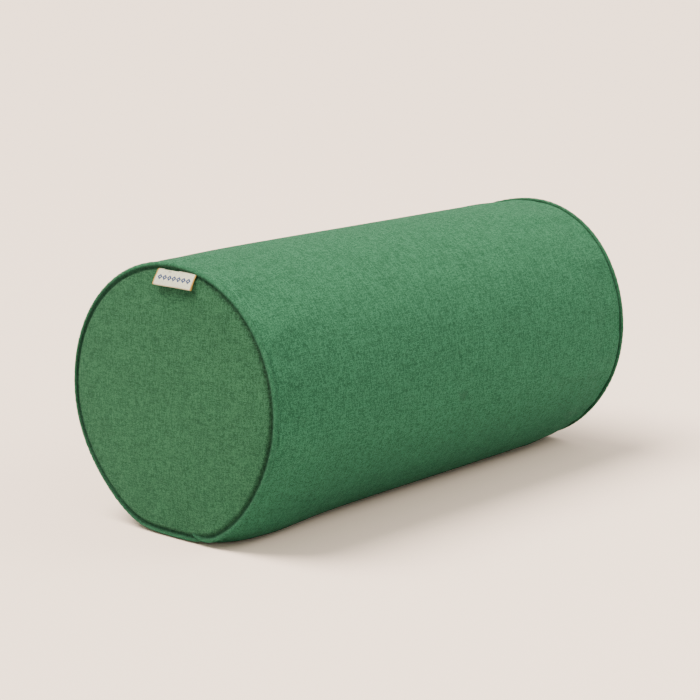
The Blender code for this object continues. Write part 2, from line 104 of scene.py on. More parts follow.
class BolsterSizes(bpy.types.PropertyGroup):
    """Sizes that a user would change. The frame gives the defaults of those that it fixes."""

    piping: FloatProperty(
        name="Piping", description="Diameter of the corded seam over its fabric",
        default=PIPING_DIAMETER, min=0.001, unit='LENGTH')
    crown: FloatProperty(
        name="End crown", description="How far the middle of an end stands out from its seam",
        default=0.0060, min=0.0, unit='LENGTH')
    dip: FloatProperty(
        name="Seam dip", description="Length over which the body rounds down into a seam",
        default=0.0085, min=0.001, unit='LENGTH')
    slack: FloatProperty(
        name="Cloth slack", description="Share by which the cloth is longer than its seams",
        default=0.012, min=0.0, max=0.1, subtype='FACTOR')
    thread: FloatProperty(
        name="Thread pitch", description="Distance between neighbouring threads of the cover",
        default=0.00080, min=0.0001, unit='LENGTH')
    label_width: FloatProperty(
        name="Label width", description="Width of the folded ribbon",
        default=0.042, min=0.005, unit='LENGTH')
    label_drop: FloatProperty(
        name="Label drop", description="Depth of the label outside its seam",
        default=0.0142, min=0.002, unit='LENGTH')
    label_tilt: FloatProperty(
        name="Label tilt", description="Angle between the label and the end panel",
        default=math.radians(33), subtype='ANGLE')
    tooth_pitch: FloatProperty(
        name="Coil pitch", description="Distance between neighbouring turns of a zip coil",
        default=0.0015, min=0.0005, unit='LENGTH')
    stitch: FloatProperty(
        name="Stitch", description="Length of one stitch beside the zip",
        default=0.0026, min=0.0005, unit='LENGTH')
    columns: IntProperty(
        name="Cloth columns", description="Squares of simulated cloth round the body",
        default=176, min=24)
    rows: IntProperty(
        name="Cloth rows", description="Squares of simulated cloth along the body",
        default=112, min=16)


class BolsterColours(bpy.types.PropertyGroup):
    """Colours that a user would change."""

    body_light: FloatVectorProperty(
        name="Body light thread", description="Light threads of the body panel", subtype='COLOR',
        default=(0.050, 0.220, 0.100), min=0, max=1)
    body_dark: FloatVectorProperty(
        name="Body dark thread", description="Dark threads of the body panel", subtype='COLOR',
        default=(0.016, 0.095, 0.040), min=0, max=1)
    # painted shade: the end colours are darker, warmer versions of the body's, which make the ends
    # render darker than the body
    end_light: FloatVectorProperty(
        name="End light thread", description="Light threads of the end panels", subtype='COLOR',
        default=(0.045, 0.168, 0.070), min=0, max=1)
    end_dark: FloatVectorProperty(
        name="End dark thread", description="Dark threads of the end panels", subtype='COLOR',
        default=(0.015, 0.074, 0.030), min=0, max=1)
    ribbon: FloatVectorProperty(
        name="Ribbon", description="Ivory threads of the label", subtype='COLOR',
        default=(0.89, 0.86, 0.63), min=0, max=1)
    ribbon_edge: FloatVectorProperty(
        name="Ribbon edge", description="Ochre edges of the label", subtype='COLOR',
        default=(0.52, 0.30, 0.06), min=0, max=1)
    motif: FloatVectorProperty(
        name="Motif", description="Woven motif of the label", subtype='COLOR',
        default=(0.022, 0.050, 0.14), min=0, max=1)
    metal: FloatVectorProperty(
        name="Zip metal", description="Plating of the slider, tab and stops", subtype='COLOR',
        default=(0.55, 0.47, 0.33), min=0, max=1)


# Shape of the stuffed pillow

def eased_positive(value, ease):
    """The value where it is positive and nearly 0 elsewhere, with a rounded corner between."""
    return (value + np.sqrt(value ** 2 + ease ** 2)) / 2


def turn_between(angle, middle):
    """Signed angle from middle to angle, at most half a turn."""
    return (angle - middle + math.pi) % (2 * math.pi) - math.pi


def lump_height(angle, lumps):
    """Sum of soft bumps at these angles."""
    return sum(height * hill_round(angle, middle, width) for middle, width, height in lumps)


def stepped(value):
    """Smooth step: 0 up to 0, 1 from 1 on."""
    share = np.clip(value, 0, 1)
    return share * share * (3 - 2 * share)


def calm_share(angle):
    """0 at the zip, which stays even, and 1 away from it."""
    return 1 - np.exp(-(turn_between(angle, ZIP_ANGLE) / ZIP_CALM) ** 4)


def hill(value, middle, width):
    """Soft bump of height 1."""
    return np.exp(-((value - middle) / width) ** 2)


def hill_round(angle, middle, width):
    """Soft bump of height 1 round the section, in degrees."""
    return np.exp(-(turn_between(angle, math.radians(middle)) / math.radians(width)) ** 2)


def swell(x, angle):
    """How far the stuffed section stands out from a true circle."""
    share = stepped((x + SEAM_X) / (2 * SEAM_X))
    near, far = lump_height(angle, NEAR_LUMPS), lump_height(angle, FAR_LUMPS)
    middle = 1 - np.clip(np.abs(x) / SEAM_X, 0, 1) ** 8
    plump = PLUMPNESS * middle * (1 + 0.9 * hill_round(angle, -112, 22))
    return calm_share(angle) * (near * (1 - share) + far * share + plump)


def end_bands(x, angle):
    """Soft bands beside the far seam, a gather behind the label and a bulge low at the near end."""
    from_far, from_near = SEAM_X - x, SEAM_X + x
    far = 0.0006 * hill(from_far, 0.047, 0.010) - 0.0005 * hill(from_far, 0.026, 0.009)
    far -= 0.0011 * hill(from_far, 0, 0.018) * hill_round(angle, 80, 34.38)
    near = 0.00045 * np.sin(angle * 26) * hill(from_near, 0.020, 0.016) \
        * hill_round(angle, 92, 25.78)
    near += 0.0046 * hill(from_near, 0.045, 0.060) * (1 - hill(from_near, 0, 0.014)) \
        * hill_round(angle, -118, 21)
    return calm_share(angle) * (far + near)


def section_point(x, angle, depth):
    """(y, z) of a point this far below the outside of the body."""
    outer = BODY_RADIUS + swell(x, angle) + end_bands(x, angle)
    radius = outer - depth
    push = eased_positive(-(CENTRE_Z + outer * np.sin(angle)), FLOOR_EASE)
    y = radius * np.cos(angle)
    z = CENTRE_Z + radius * np.sin(angle) + push * (radius / outer) ** 2
    return y, z


def ring_point(sign, angle, bead_radius):
    """(y, z) of the middle of a piping's bead."""
    radius = RING_RADIUS - bead_radius + swell(np.full_like(angle, sign * SEAM_X), angle)
    y = radius * np.cos(angle)
    z = CENTRE_Z + radius * np.sin(angle)
    return y, z + eased_positive(bead_radius - z, 3.4 * FLOOR_EASE)


def seam_point(sign, angle, bead_radius, depth=0.0):
    """(y, z) of the stitched line under the bead, or of a point further in."""
    y, z = ring_point(sign, angle, bead_radius)
    inward = SEAM_BITE * bead_radius + depth
    to_middle_y, to_middle_z = -y, CENTRE_Z - z
    length = np.hypot(to_middle_y, to_middle_z)
    return y + inward * to_middle_y / length, z + inward * to_middle_z / length


# Modelling helpers

def deselect():
    """Leave nothing selected and no object in edit mode."""
    if bpy.context.object and bpy.context.object.mode != 'OBJECT':
        bpy.ops.object.mode_set(mode='OBJECT')
    bpy.ops.object.select_all(action='DESELECT')


def take(piece):
    """Make a piece the only selected and active object."""
    deselect()
    piece.select_set(True)
    bpy.context.view_layer.objects.active = piece


def added(name):
    """Name the object that an operator has just added."""
    piece = bpy.context.object
    piece.name = name
    piece.data.name = name
    return piece


@contextmanager
def editing(piece):
    """Edit mode, with the whole of a piece selected."""
    take(piece)
    bpy.ops.object.mode_set(mode='EDIT')
    bpy.ops.mesh.select_all(action='SELECT')
    yield
    bpy.ops.object.mode_set(mode='OBJECT')


def points_of(piece):
    """Vertex places as an array."""
    places = np.zeros(len(piece.data.vertices) * 3)
    piece.data.vertices.foreach_get("co", places)
    return places.reshape(-1, 3)


def move_points(piece, places):
    """Put the vertices at these places."""
    piece.data.vertices.foreach_set("co", np.asarray(places, float).ravel())
    piece.data.update()


def cloth_grid(name, columns, rows):
    """Flat cloth from -1 to 1 both ways, which the maker then rolls or stretches."""
    deselect()
    bpy.ops.mesh.primitive_grid_add(x_subdivisions=rows, y_subdivisions=columns, size=2)
    return added(name)


def cloth_disc(name, corners, span):
    """Flat round cloth, as (piece, share of the way to its rim, angle round it)."""
    deselect()
    bpy.ops.mesh.primitive_circle_add(vertices=corners, radius=1)
    piece = added(name)
    with editing(piece):
        bpy.ops.mesh.fill_grid(span=span)
    flat = points_of(piece)
    share = np.clip(np.hypot(flat[:, 0], flat[:, 1]), 0, 1)
    return piece, share, np.arctan2(flat[:, 1], flat[:, 0])


def set_cloth_coordinates(piece, across, along):
    """Write each vertex's flat cloth coordinates, in metres, to the piece's UV map."""
    layer = piece.data.uv_layers.active or piece.data.uv_layers.new(name="Cloth")
    layer.name = "Cloth"
    corners = np.zeros(len(piece.data.loops), int)
    piece.data.loops.foreach_get("vertex_index", corners)
    flat = np.stack([across[corners], along[corners]], axis=1)
    layer.data.foreach_set("uv", flat.ravel())


def set_painted_seam_shade(piece, depth):
    """Write how deep each vertex lies in a seam, from 0 to 1, for painted shade to darken the cloth
    there.
    """
    layer = piece.data.attributes.new("Crease", 'FLOAT', 'POINT')
    layer.data.foreach_set("value", np.clip(depth, 0, 1))


def face_outwards(piece, outward):
    """Turn an open sheet's faces over if they point against the outward directions."""
    normals = np.zeros(len(piece.data.vertices) * 3)
    piece.data.vertices.foreach_get("normal", normals)
    if np.sum(normals.reshape(-1, 3) * outward) < 0:
        with editing(piece):
            bpy.ops.mesh.flip_normals()


def apply_modifier(piece, kind, **values):
    """Add a modifier to a piece and apply it."""
    take(piece)
    change = piece.modifiers.new(kind.title(), kind)
    for name, value in values.items():
        setattr(change, name, value)
    bpy.ops.object.modifier_apply(modifier=change.name)


def repeat(piece, count):
    """Join count copies of a piece in one mesh, to be moved apart by the maker."""
    apply_modifier(piece, 'ARRAY', count=count, use_relative_offset=False,
                   use_constant_offset=True, constant_offset_displace=(1, 0, 0))


def recalculated(piece):
    """Point a closed piece's faces outwards."""
    with editing(piece):
        bpy.ops.mesh.normals_make_consistent(inside=False)


def smooth(piece, degrees=60):
    """Shade a piece smooth, with sharp edges where it bends more than this."""
    take(piece)
    bpy.ops.object.shade_smooth_by_angle(angle=math.radians(degrees))


def averaged(values, flat, reach):
    """Values of a square grid's points, each averaged with those within reach cells of it."""
    order = np.lexsort((flat[:, 0].round(6), flat[:, 1].round(6)))
    width = len(np.unique(flat[:, 0].round(6)))
    field = values[order].reshape(-1, width)
    window = np.ones(2 * reach + 1) / (2 * reach + 1)
    for axis in (0, 1, 0, 1):
        wide = np.pad(field, [(reach, reach) if axis == way else (0, 0) for way in (0, 1)],
                      mode='edge')
        field = np.apply_along_axis(np.convolve, axis, wide, window, 'valid')
    result = np.empty_like(values)
    result[order] = field.ravel()
    return result


def swell_as_cloth(piece, pinned, pressure, slack, reach):
    """Blow a piece up as cloth between its sewn points and cap how far each point moves."""
    start = points_of(piece)
    group = piece.vertex_groups.new(name="sewn")
    group.add([int(index) for index in np.flatnonzero(pinned)], 1.0, 'REPLACE')
    cloth = piece.modifiers.new("Cloth", 'CLOTH')
    cloth.settings.quality = 5
    cloth.settings.mass = 0.2
    cloth.settings.tension_stiffness = 20
    cloth.settings.compression_stiffness = 20
    cloth.settings.shear_stiffness = 8
    cloth.settings.bending_stiffness = 0.4
    cloth.settings.vertex_group_mass = group.name
    cloth.settings.use_pressure = True
    cloth.settings.uniform_pressure_force = pressure
    cloth.settings.shrink_min = -slack
    cloth.settings.effector_weights.gravity = 0
    cloth.point_cache.frame_start = 1
    cloth.point_cache.frame_end = 20
    for step in range(1, 21):
        bpy.context.scene.frame_set(step)
    take(piece)
    bpy.ops.object.modifier_apply(modifier=cloth.name)
    bpy.context.scene.frame_set(1)
    piece.vertex_groups.clear()
    moved = points_of(piece) - start
    length = np.linalg.norm(moved, axis=1, keepdims=True)
    share = np.minimum(1, reach / np.maximum(length, 1e-9))
    move_points(piece, start + moved * share)


# Materials

class Wire:
    """Value on a shader socket. Arithmetic on it adds Math nodes."""

    def __init__(self, tree, socket):
        self.tree = tree
        self.socket = socket

    def maths(self, operation, *others):
        """Result of a Math node that takes this value first."""
        inputs = dict(enumerate((self, *others)))
        return add_node(self.tree, 'ShaderNodeMath', inputs, operation=operation)

    def __add__(self, other):
        return self.maths('ADD', other)

    def __sub__(self, other):
        return self.maths('SUBTRACT', other)

    def __mul__(self, other):
        return self.maths('MULTIPLY', other)

    def __truediv__(self, other):
        return self.maths('DIVIDE', other)

    def beside(self, name):
        """Another output of the same node."""
        return Wire(self.tree, self.socket.node.outputs[name])

    def to(self, node, name):
        """Link the value to an input of a node."""
        self.tree.links.new(self.socket, node.inputs[name])


def add_node(tree, kind, inputs=None, output=0, **settings):
    """Add a shader node, set or link its inputs by name or number, and return one output."""
    made = tree.nodes.new(kind)
    for name, value in settings.items():
        setattr(made, name, value)
    for name, value in (inputs or {}).items():
        if isinstance(value, Wire):
            value.to(made, name)
        else:
            made.inputs[name].default_value = value
    return Wire(tree, made.outputs[output])


def blended(tree, share, first, second, blend_type='MIX'):
    """Result of one colour mix."""
    return add_node(tree, 'ShaderNodeMix', {0: share, 6: first, 7: second}, 2,
                    data_type='RGBA', blend_type=blend_type)


def darkened(tree, colour, share):
    """Colour times a number."""
    grey = add_node(tree, 'ShaderNodeCombineColor', {0: share, 1: share, 2: share})
    return blended(tree, 1.0, colour, grey, 'MULTIPLY')


def noise(tree, x, y, z=0.0, scale=1.0, detail=1.0):
    """Soft noise from 0 to 1 at a place made of three numbers."""
    place = add_node(tree, 'ShaderNodeCombineXYZ', {0: x, 1: y, 2: z})
    return noise_at(tree, place, scale, detail)


def noise_at(tree, place, scale, detail=2.0, distortion=0.0):
    """Soft noise from 0 to 1 at a place."""
    return add_node(tree, 'ShaderNodeTexNoise', {
        "Vector": place, "Scale": scale, "Detail": detail, "Distortion": distortion}, "Fac")


def parts_of(tree, place):
    """The three numbers of a place."""
    x = add_node(tree, 'ShaderNodeSeparateXYZ', {0: place})
    return x, x.beside(1), x.beside(2)


def object_place(tree):
    """Place in the piece's own space, in metres."""
    return add_node(tree, 'ShaderNodeTexCoord', output="Object")


def cloth_place(tree):
    """Flat cloth coordinates of a piece, in metres."""
    return add_node(tree, 'ShaderNodeUVMap', uv_map="Cloth")


def solid(colour):
    """Colour with its alpha, as a shader socket takes it."""
    return (*colour[:3], 1.0)


def new_group(name, inputs, outputs):
    """Shader node group with named sockets, as (group, its inputs by name, output node)."""
    group = bpy.data.node_groups.new(name, 'ShaderNodeTree')
    for label, kind, value in inputs:
        socket = group.interface.new_socket(label, in_out='INPUT', socket_type=kind)
        if value is not None:
            socket.default_value = value
    for label, kind in outputs:
        group.interface.new_socket(label, in_out='OUTPUT', socket_type=kind)
    entry = group.nodes.new('NodeGroupInput')
    given = {label: Wire(group, entry.outputs[label]) for label, _, _ in inputs}
    return group, given, group.nodes.new('NodeGroupOutput')


def weave_group():
    """Plain weave whose threads differ in colour and thickness along their length."""
    if "Plain Weave" in bpy.data.node_groups:
        return bpy.data.node_groups["Plain Weave"]
    group, given, result = new_group(
        "Plain Weave",
        (("Cloth Place", 'NodeSocketVector', None), ("Pitch", 'NodeSocketFloat', 0.0008),
         ("Light Thread", 'NodeSocketColor', (0.5, 0.5, 0.5, 1)),
         ("Dark Thread", 'NodeSocketColor', (0.2, 0.2, 0.2, 1)),
         ("Slub", 'NodeSocketFloat', 0.5), ("Speckle", 'NodeSocketFloat', 0.6),
         ("Contrast", 'NodeSocketFloat', 1.0)),
        (("Colour", 'NodeSocketColor'), ("Height", 'NodeSocketFloat'),
         ("Roughness", 'NodeSocketFloat')))
    x, y, _ = parts_of(group, given["Cloth Place"])
    sway = noise(group, x, y, 0.0, 90.0, 2.0) * 0.5 - 0.25
    across = x / given["Pitch"] + sway
    along = y / given["Pitch"] - sway
    warp, weft = (way.maths('FLOOR') for way in (across, along))
    over = (warp + weft).maths('FLOORED_MODULO', 2.0)
    under = over * -1.0 + 1.0
    warp_round, weft_round = ((way.maths('FRACT') * math.pi).maths('SINE')
                              for way in (across, along))
    # each thread has a tone that drifts along it, slubs, and a speckle where it is crossed
    warp_tone = noise(group, warp * 0.73, along * 0.10, 3.1, 1.0, 4.0)
    weft_tone = noise(group, weft * 0.73, across * 0.10, 7.7, 1.0, 4.0)
    tone = (warp_tone * under + weft_tone * over) * 2.8 - 0.9
    slub = noise(group, across * 0.55, along * 0.04, 1.3, 1.0, 2.0) \
        + noise(group, across * 0.04, along * 0.55, 5.9, 1.0, 2.0) - 1.0
    crossing = add_node(group, 'ShaderNodeCombineXYZ', {0: warp, 1: weft})
    speckle = add_node(group, 'ShaderNodeTexWhiteNoise', {"Vector": crossing}, "Value",
                       noise_dimensions='2D')
    tone = tone + slub * given["Slub"] + (speckle - 0.5) * given["Speckle"]
    tone = (tone - 0.5) * given["Contrast"] + 0.5
    tone = tone.maths('MAXIMUM', 0.0).maths('MINIMUM', 1.0)
    gap = (warp_round * weft_round * 2.5).maths('MINIMUM', 1.0)
    height = (warp_round * under + weft_round * over) * (gap * 0.5 + 0.5) + tone * 0.5
    colour = blended(group, tone, given["Dark Thread"], given["Light Thread"])
    # painted shade: the gaps between threads are darkened down to 65 %
    darkened(group, colour, gap * 0.35 + 0.65).to(result, "Colour")
    height.to(result, "Height")
    (tone * -0.12 + 0.95).to(result, "Roughness")
    return group


def wear_group():
    """Fine scratches and rubbed patches of plated metal."""
    if "Rubbed Metal" in bpy.data.node_groups:
        return bpy.data.node_groups["Rubbed Metal"]
    group, given, result = new_group(
        "Rubbed Metal",
        (("Place", 'NodeSocketVector', None), ("Plating", 'NodeSocketColor', (0.6, 0.5, 0.4, 1))),
        (("Colour", 'NodeSocketColor'), ("Roughness", 'NodeSocketFloat'),
         ("Height", 'NodeSocketFloat')))
    x, y, z = parts_of(group, given["Place"])
    scratches = noise(group, x * 120.0, y, z, 45.0, 4.0)
    dull = noise(group, x, y, z, 420.0, 3.0) * 0.9 - 0.25
    dull = dull.maths('MAXIMUM', 0.0).maths('MINIMUM', 1.0)
    worn = add_node(group, 'ShaderNodeHueSaturation',
                    {"Saturation": 0.7, "Value": 0.6, "Color": given["Plating"]})
    blended(group, dull, given["Plating"], worn).to(result, "Colour")
    (scratches * 0.22 + dull * 0.15 + 0.2).to(result, "Roughness")
    scratches.to(result, "Height")
    return group


def new_material(name):
    """Material with a Principled shader, as (material, its tree, the shader)."""
    material = bpy.data.materials.new(name)
    material.use_nodes = True
    tree = material.node_tree
    shader = next(node for node in tree.nodes if node.type == 'BSDF_PRINCIPLED')
    return material, tree, shader


def add_bump(tree, shader, height, distance):
    """Feed a height in shares of distance, in metres, to a shader's normal."""
    add_node(tree, 'ShaderNodeBump', {"Height": height, "Strength": 1.0,
                                      "Distance": distance}).to(shader, "Normal")


def woven_material(name, light, dark, pitch, slub=0.5, contrast=1.4, sheen=0.45, relief=0.5,
                   speckle=0.9):
    """Woven cloth in two thread tones."""
    if name in bpy.data.materials:
        return bpy.data.materials[name]
    material, tree, shader = new_material(name)
    place = cloth_place(tree)
    colour = add_node(tree, 'ShaderNodeGroup', {
        "Cloth Place": place, "Pitch": pitch, "Light Thread": solid(light),
        "Dark Thread": solid(dark), "Slub": slub, "Speckle": speckle, "Contrast": contrast},
        node_tree=weave_group())
    # painted shade: cloth darkens at the bottom of its seams, by the vertex attribute; the cloud is
    # random tone
    crease = add_node(tree, 'ShaderNodeAttribute', output="Fac", attribute_name="Crease")
    cloud = noise_at(tree, place, 22.0, 3.0) * 0.24 + 0.88
    darkened(tree, colour, cloud * (crease * -CREASE_SHADE + 1.0)).to(shader, "Base Color")
    colour.beside("Roughness").to(shader, "Roughness")
    shader.inputs["Sheen Weight"].default_value = sheen
    shader.inputs["Sheen Roughness"].default_value = 0.5
    shader.inputs["Sheen Tint"].default_value = solid(light)
    shader.inputs["Specular IOR Level"].default_value = 0.25
    add_bump(tree, shader, colour.beside("Height"), pitch * relief)
    return material


def ribbon_material(sizes, colours):
    """Ivory ribbon with ochre edges and a small woven motif of diamonds in a row."""
    name = "label_ribbon_weave"
    if name in bpy.data.materials:
        return bpy.data.materials[name]
    shaded = [part * 0.74 for part in colours.ribbon]
    material = woven_material(name, colours.ribbon, shaded, 0.00042, slub=0.15, contrast=0.8,
                              sheen=0.15, relief=0.25)
    tree = material.node_tree
    shader = next(node for node in tree.nodes if node.type == 'BSDF_PRINCIPLED')
    ground = Wire(tree, shader.inputs["Base Color"].links[0].from_socket)
    across, along, _ = parts_of(tree, cloth_place(tree))
    spacing = 0.0052
    cell = (across * (1 / spacing) + 0.5).maths('FRACT') - 0.5
    reach = cell.maths('ABSOLUTE') * spacing + (along - 0.0072).maths('ABSOLUTE')
    from_middle = across.maths('ABSOLUTE')
    mark = reach.maths('LESS_THAN', 0.0026) * reach.maths('GREATER_THAN', 0.0007) \
        * from_middle.maths('LESS_THAN', 0.0182)
    colour = blended(tree, mark, ground, solid(colours.motif))
    side = from_middle.maths('GREATER_THAN', sizes.label_width / 2 - 0.0011)
    fold = (along - sizes.label_drop).maths('ABSOLUTE').maths('LESS_THAN', 0.0005)
    edge = side.maths('MAXIMUM', fold * 0.45)
    blended(tree, edge, colour, solid(colours.ribbon_edge)).to(shader, "Base Color")
    return material


def metal_material(colours):
    """Antique plating of the zip's slider, tab and stops."""
    if "zip_plating" in bpy.data.materials:
        return bpy.data.materials["zip_plating"]
    material, tree, shader = new_material("zip_plating")
    wear = add_node(tree, 'ShaderNodeGroup', {
        "Place": object_place(tree), "Plating": solid(colours.metal)}, node_tree=wear_group())
    wear.to(shader, "Base Color")
    wear.beside("Roughness").to(shader, "Roughness")
    shader.inputs["Metallic"].default_value = 1.0
    add_bump(tree, shader, wear.beside("Height"), 0.00002)
    return material


def nylon_material():
    """Dyed nylon of the zip's coils."""
    if "zip_nylon" in bpy.data.materials:
        return bpy.data.materials["zip_nylon"]
    material, tree, shader = new_material("zip_nylon")
    spots = noise_at(tree, object_place(tree), 900.0)
    blended(tree, spots, (0.035, 0.12, 0.06, 1), (0.07, 0.21, 0.11, 1)).to(shader, "Base Color")
    (spots * 0.2 + 0.28).to(shader, "Roughness")
    add_bump(tree, shader, spots, 0.00002)
    return material


def thread_material(name, colour):
    """Twisted sewing thread or cord, with its twist along the cloth coordinates."""
    if name in bpy.data.materials:
        return bpy.data.materials[name]
    material, tree, shader = new_material(name)
    across, along, _ = parts_of(tree, cloth_place(tree))
    twist = (across * 2600.0 + along * 3600.0).maths('SINE').maths('ABSOLUTE')
    # painted shade: the grooves of the twist darken to the deep tone
    deep = [part * 0.55 for part in colour]
    blended(tree, twist, solid(deep), solid(colour)).to(shader, "Base Color")
    (twist * -0.1 + 0.8).to(shader, "Roughness")
    shader.inputs["Sheen Weight"].default_value = 0.2
    add_bump(tree, shader, twist, 0.00012)
    return material


def fibre_material(name, light, dark, scale, relief):
    """Loose wadding or cut foam, from its place in space."""
    if name in bpy.data.materials:
        return bpy.data.materials[name]
    material, tree, shader = new_material(name)
    place = object_place(tree)
    coarse = noise_at(tree, place, scale, 6.0, 1.5)
    cells = add_node(tree, 'ShaderNodeTexVoronoi', {"Vector": place, "Scale": scale * 5},
                     "Distance")
    height = coarse + cells * 0.6
    # the colour follows the bump's height: random tone, and painted shade in the hollows of the
    # cells
    blended(tree, height, solid(dark), solid(light)).to(shader, "Base Color")
    (coarse * 0.1 + 0.88).to(shader, "Roughness")
    shader.inputs["Sheen Weight"].default_value = 0.3
    add_bump(tree, shader, height, relief)
    return material


def linen(context, part):
    """Cover cloth of the body, the piping or the ends."""
    sizes, colours = context.scene.bolster_sizes, context.scene.bolster_colours
    if part == "end":
        return woven_material("end_linen_weave", colours.end_light, colours.end_dark,
                              sizes.thread)
    if part == "piping":
        return woven_material("piping_bias_weave", colours.body_light, colours.body_dark,
                              sizes.thread * 0.8, contrast=0.9, sheen=0.3)
    return woven_material("body_linen_weave", colours.body_light, colours.body_dark, sizes.thread)


def finish_piece(piece, material, body, nodes=()):
    """Give a piece its material, its body and the CAD nodes that it stands for."""
    piece.data.materials.clear()
    piece.data.materials.append(material)
    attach(piece, body)
    if nodes:
        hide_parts(*nodes)
    deselect()


# Pieces

def slot_half_width(x):
    """Half the zip opening at a place along the axis, 0 beyond its ends."""
    return SLOT_HALF * stepped((COIL_HIGH.x + 0.0055 - np.abs(x)) / 0.004)


def body_place(along, angle, sizes):
    """Place on the settled outside of the body cloth, from its length along and its angle."""
    bead = sizes.piping / 2
    straight = SEAM_X - sizes.dip
    turn = np.clip((np.abs(along) - straight) / (sizes.dip * SEAM_STRETCH), 0, 1) * math.pi / 2
    side = np.sign(along)
    x = np.where(np.abs(along) <= straight, along,
                 side * (straight + (sizes.dip - 0.0004) * np.sin(turn)))
    y, z = section_point(x, angle, 0.0)
    left_y, left_z = seam_point(-1, angle, bead, SEAM_DEPTH)
    right_y, right_z = seam_point(1, angle, bead, SEAM_DEPTH)
    seam_y, seam_z = np.where(side < 0, left_y, right_y), np.where(side < 0, left_z, right_z)
    share = 1 - np.cos(turn)
    return np.stack([x, y + (seam_y - y) * share, z + (seam_z - z) * share], axis=1)


class BOLSTER_OT_body_cover(bpy.types.Operator):
    """Cut the body panel flat, sew it into a tube and fill it"""
    bl_idname = "bolster.body_cover"
    bl_label = "Body Panel"

    def execute(self, context):
        sizes = context.scene.bolster_sizes
        piece = cloth_grid("cover_body", sizes.columns, sizes.rows)
        flat = points_of(piece)
        half_length = SEAM_X + sizes.dip * (SEAM_STRETCH - 1)
        along = half_length * (1.18 * flat[:, 0] - 0.18 * flat[:, 0] ** 5)
        gap = slot_half_width(along) / BODY_RADIUS
        turn = flat[:, 1] * (math.pi - gap)
        angle = ZIP_ANGLE + math.pi + turn
        set_cloth_coordinates(piece, turn * BODY_RADIUS, along)

        # the cloth is blown up as a round tube, then laid over the stuffed shape
        share = np.clip((np.abs(along) - SEAM_X + sizes.dip) / sizes.dip / SEAM_STRETCH, 0, 1)
        share = 1 - np.cos(share * math.pi / 2)
        radius = BODY_RADIUS - share * 0.002
        tube = np.stack([along, radius * np.cos(angle), radius * np.sin(angle)], axis=1)
        move_points(piece, tube)
        edge = math.pi - np.abs(turn)
        from_seam = half_length - np.abs(along)
        pinned = (edge < 0.10) | (from_seam < 0.0035)
        swell_as_cloth(piece, pinned, 4.0, sizes.slack, 0.0045)
        moved = points_of(piece) - tube
        settled = body_place(along, angle, sizes)
        free = np.clip(settled[:, 2] / 0.006, 0, 1) * np.clip((edge - 0.08) / 0.2, 0, 1)
        outward = np.stack([np.zeros_like(angle), np.cos(angle), np.sin(angle)], axis=1)
        rise = np.sum(moved * outward, axis=1)
        broad = averaged(rise, flat, 5)
        creases, folds = rise - broad, broad - averaged(rise, flat, 16)
        gathered = hill(from_seam, 0, 0.035)
        height = creases * (0.28 + 0.45 * gathered) + folds * (0.10 + 0.2 * gathered)
        height = np.clip(height, CREASE_LOW, CREASE_HIGH) * free
        place = settled + outward * height[:, None]
        place[:, 2] = np.maximum(place[:, 2], 0.0001)
        move_points(piece, place)
        # painted shade: the body cloth darkens within a few millimetres of each end seam
        set_painted_seam_shade(piece, hill(from_seam, 0, 0.0034))
        face_outwards(piece, outward)
        self.turn_hems(piece)
        apply_modifier(piece, 'SUBSURF', levels=1, render_levels=1)
        smooth(piece)
        finish_piece(piece, linen(context, "body"), "pillow", ("cover_body_panel",))
        return {'FINISHED'}

    def turn_hems(self, piece):
        """Roll the cloth's long edges under at the zip and close them beyond it."""
        mesh = bmesh.new()
        mesh.from_mesh(piece.data)
        uv = mesh.loops.layers.uv.active

        def at_slot(edge):
            places = [vertex.co for vertex in edge.verts]
            near = all((place - Vector((place.x, 0, CENTRE_Z))).normalized().dot(ZIP_OUT) > 0.99
                       for place in places)
            return edge.is_boundary and near and all(abs(p.x) < SEAM_X - 0.001 for p in places)

        rims = [edge for edge in mesh.edges if at_slot(edge)]
        # each step goes in by depth and away from the opening by back
        for depth, back in ((0.0005, -0.00045), (0.0006, 0.0008), (0.0, 0.0035)):
            made = bmesh.ops.extrude_edge_only(mesh, edges=rims)["geom"]
            vertices = [item for item in made if isinstance(item, bmesh.types.BMVert)]
            rims = [item for item in made if isinstance(item, bmesh.types.BMEdge)]
            rims = [edge for edge in rims if all(v in set(vertices) for v in edge.verts)]
            along_zip = Vector((1, 0, 0)).cross(ZIP_OUT)
            for vertex in vertices:
                sideways = (vertex.co - HINGE_PLACE).dot(along_zip)
                away = along_zip * (1 if sideways > 0 else -1)
                half = float(slot_half_width(np.array([vertex.co.x]))[0])
                vertex.co += -ZIP_OUT * depth + away * back * (half / SLOT_HALF)
        for face in mesh.faces:
            for loop in face.loops:
                if loop[uv].uv.length == 0:
                    loop[uv].uv = (loop.vert.co.z, loop.vert.co.x)
        near = [vertex for vertex in mesh.verts
                if COIL_HIGH.x + 0.0058 < abs(vertex.co.x) and vertex.is_boundary]
        bmesh.ops.remove_doubles(mesh, verts=near, dist=0.0002)
        mesh.to_mesh(piece.data)
        mesh.free()


